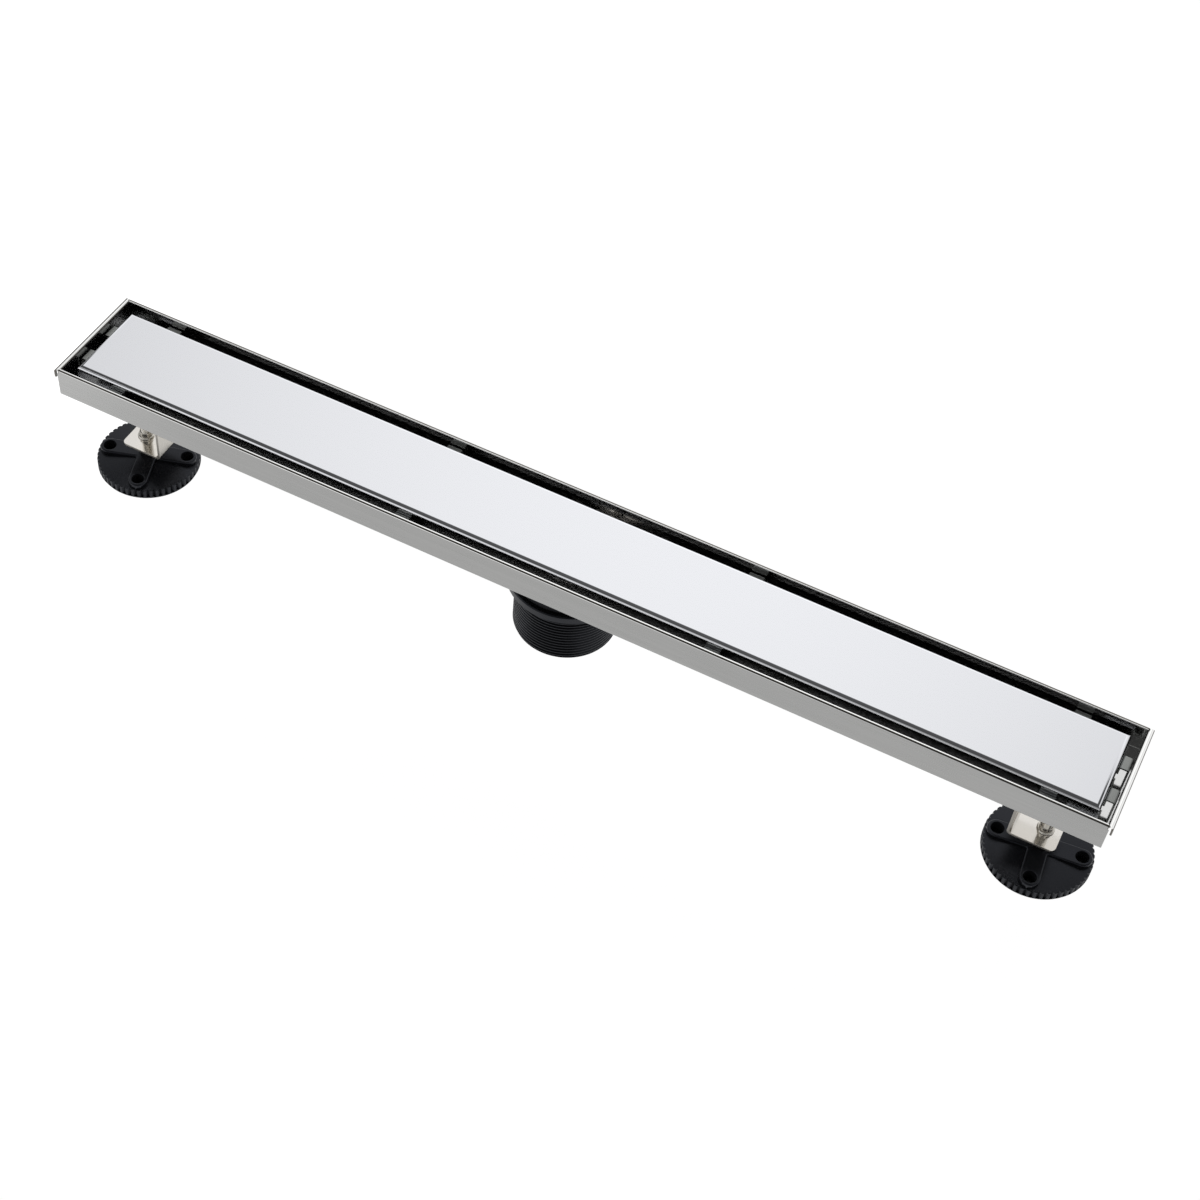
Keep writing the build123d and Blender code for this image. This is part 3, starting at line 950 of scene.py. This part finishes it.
def makeGear():
    bore, edge, count = (gearForm[key] for key in ("bore", "boreEdge", "count"))
    low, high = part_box("levelling_nut_right")
    rounded, steps, collar, turned = (
        gearForm[key] for key in ("flangeRound", "steps", "collar", "collarEdge")
    )
    centreX = (high.x - low.x) / 2 - rounded
    centreZ = low.z + gearForm["flange"] - rounded
    angles = [pi / 2 * step / steps for step in range(steps + 1)]
    arc = [(centreX + rounded * cos(angle), centreZ + rounded * sin(angle)) for angle in angles]
    profile = [
        (bore, low.z), (centreX + rounded, low.z), *arc, (collar, centreZ + rounded),
        (collar, high.z - turned), (collar - turned, high.z), (bore + edge, high.z), (bore, high.z - edge),
    ]
    roundNut = addTurned(profile, count=count)

    low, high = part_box("foot_bolt_right")
    headTop = low.z + gearForm["headHeight"]
    tip = gearForm["tip"]
    outside = boltThread["crest"] + gearForm["slack"]
    bolt = addThread(boltThread, headTop - gearForm["overlap"], high.z)
    start = headTop - 2 * gearForm["overlap"]
    profile = [(outside, start), (outside, high.z - tip), (outside - tip, high.z)]
    combine(bolt, "INTERSECT", addTurned(profile, count=count, solid=True))
    combine(bolt, "UNION", hexPrism(low.z, headTop))

    low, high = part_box("foot_nut_right")
    nut = hexPrism(low.z, high.z)
    mouth = bore + 2 * edge
    profile = [(mouth, low.z - edge), (bore, low.z + edge), (bore, high.z - edge), (mouth, high.z + edge)]
    combine(nut, "DIFFERENCE", addTurned(profile, count=count, solid=True))

    for hand in sides:
        foot = f"{hand}_foot"
        pieces = ((roundNut, "levelling_nut", "trough"), (bolt, "foot_bolt", foot), (nut, "foot_nut", foot))
        for source, name, body in pieces:
            twin = atFoot(source, hand, gearForm["hexTurn"])
            finishPiece(twin, f"{name}_{hand}", body, "platedSteel")
    for source in (roundNut, bolt, nut):
        bpy.data.objects.remove(source)
    print("levelling gear threaded")


# pads: low crown with a ribbed edge, a raised cross with four screw holes, shallow pockets below
padForm = {
    "ringInset": 0.0008, "ring": 0.0016, "rim": 0.0066, "crown": 0.009, "count": 208,
    "ribs": 52, "ribDepth": 0.0012, "grooveSpread": 1.65, "ribBevel": 0.0004, "ribRound": 0.36,
    "armWidth": 0.011, "armEdge": 0.0009, "armCount": 66, "web": 0.001, "steps": 4,
    "flatAngle": 0.5,  # degrees, and faces at less than this to each other are one
    "holes": 4, "holeCircle": 0.0455, "hole": 0.0021, "holeCount": 48, "holeEdge": 0.0003,
    "recess": 0.0036, "recessDepth": 0.007,
    "hollowDepth": 0.002, "hollowInner": 0.009, "hollowOuter": 0.026,
    "headTop": 0.0048, "hexClearance": 0.00015,
    "smooth": 30,
}
padTurn = {"left": 19.0, "right": 6.0}  # degrees


def makeDisc(radius):
    form = padForm
    rim, bevelled = form["rim"], form["ribBevel"]
    crownEdge = radius - bevelled
    inner = gearForm["bore"] / 2
    crownInside = form["crown"] - (form["crown"] - rim) * inner / crownEdge
    rounded = form["ribRound"] * bevelled
    ringRadius = radius - form["ringInset"]
    profile = [
        (ringRadius, 0), (ringRadius, form["ring"]), (radius, form["ring"]), (radius, rim - bevelled),
        (radius - rounded, rim - rounded), (crownEdge, rim), (inner, crownInside),
    ]
    return addTurned(profile, count=form["count"], solid=True)


def makePockets(holeX):
    # what the underside is hollowed by, which leaves the plastic round the screw holes
    form = padForm
    inner, outer, depth = form["hollowInner"], form["hollowOuter"], form["hollowDepth"]
    pockets = addTurned([(inner, -depth), (outer, -depth), (outer, depth), (inner, depth)])
    boss = addCylinder(form["armWidth"] / 2, -2 * depth, 2 * depth, form["armCount"], (holeX, 0))
    combine(pockets, "DIFFERENCE", around(boss, form["holes"]))
    return pockets


def makeGrooves(radius):
    # three-sided bars, one between each two ribs
    form = padForm
    deselect()
    depth = 2 * form["rim"] - form["ring"]
    place = (radius, 0, form["ring"] / 2 + form["rim"])
    bpy.ops.mesh.primitive_cylinder_add(
        vertices=3, radius=form["ribDepth"], depth=depth, location=place, rotation=(0, 0, pi / 2),
    )
    bpy.ops.object.transform_apply()
    groove = bpy.context.object
    edit(groove)
    bpy.ops.mesh.select_all(action="SELECT")
    stretch(y=form["grooveSpread"], centre=(radius, 0, 0))
    endEdit()
    return around(groove, form["ribs"])


def makeCross(top):
    form = padForm
    half = form["armWidth"] / 2
    base = (form["hollowDepth"] + form["rim"]) / 2
    arms = []
    for turn in (0, pi / 2):
        arm = addCylinder(half, base, top, form["armCount"])
        edit(arm)
        for end in (-1, 1):
            pick("verts", lambda vert: vert.co.x * end > 0 and abs(vert.co.x) <= half)
            move(end * form["holeCircle"] / 2)
        endEdit()
        arm.data.transform(Matrix.Rotation(turn, 4, "Z"))
        arms.append(arm)
    cross, crossing = arms
    combine(cross, "UNION", crossing)
    edit(cross)
    mergeAll()
    bpy.ops.mesh.dissolve_limited(angle_limit=radians(form["flatAngle"]))
    pick("edges", lambda edge: runs(edge, "z") and lies(edge, x=half, y=half))
    bevel(form["web"], form["steps"])
    # the outline of the top, where it meets the walls
    pick("edges", lambda edge: lies(edge, z=top) and any(face.normal.z < facing for face in edge.link_faces))
    bevel(form["armEdge"], form["steps"])
    endEdit()
    return cross


def makePads():
    form = padForm
    low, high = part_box("foot_pad_right")
    top = high.z
    holeX = form["holeCircle"] / 2
    radius = (high.x - low.x) / 2
    pad = makeDisc(radius)
    combine(pad, "UNION", makeCross(top))
    combine(pad, "DIFFERENCE", makePockets(holeX))
    hole, recess, edge, count = (form[key] for key in ("hole", "recess", "holeEdge", "holeCount"))
    recessZ = top - form["recessDepth"]
    profile = [
        (hole, -top), (hole, recessZ), (recess, recessZ), (recess, top - edge),
        (recess + 2 * edge, top + edge),
    ]
    drill = addTurned(profile, (holeX, 0), count, solid=True)
    combine(pad, "DIFFERENCE", around(drill, form["holes"]))
    combine(pad, "DIFFERENCE", addCylinder(gearForm["bore"], -top, 2 * top, count))
    hexCorner = (gearForm["hexSize"] / 2 + form["hexClearance"]) / cos(pi / hexSides)
    combine(pad, "DIFFERENCE", addCylinder(hexCorner, -top, form["headTop"], hexSides))
    combine(pad, "DIFFERENCE", makeGrooves(radius))
    for hand in sides:
        twin = atFoot(pad, hand)
        finishPiece(twin, f"foot_pad_{hand}", f"{hand}_foot", "padPlastic", form["smooth"])
    bpy.data.objects.remove(pad)
    print("pads moulded")


addCamera(cameraView)
addWorld()
addFloor()
addLamps()
print("camera and studio set")
finishes = {name: steelFinish(name) for name in steels} | {name: plasticFinish(name) for name in plastics}
print("finishes mixed:", len(finishes))
makeTrough()
makeEndWalls()
makeCover()
makeLugs()
makeOutlet()
makeStrainer()
makeBrackets()
makeGear()
makePads()

bpy.context.scene.view_settings.view_transform = "Standard"
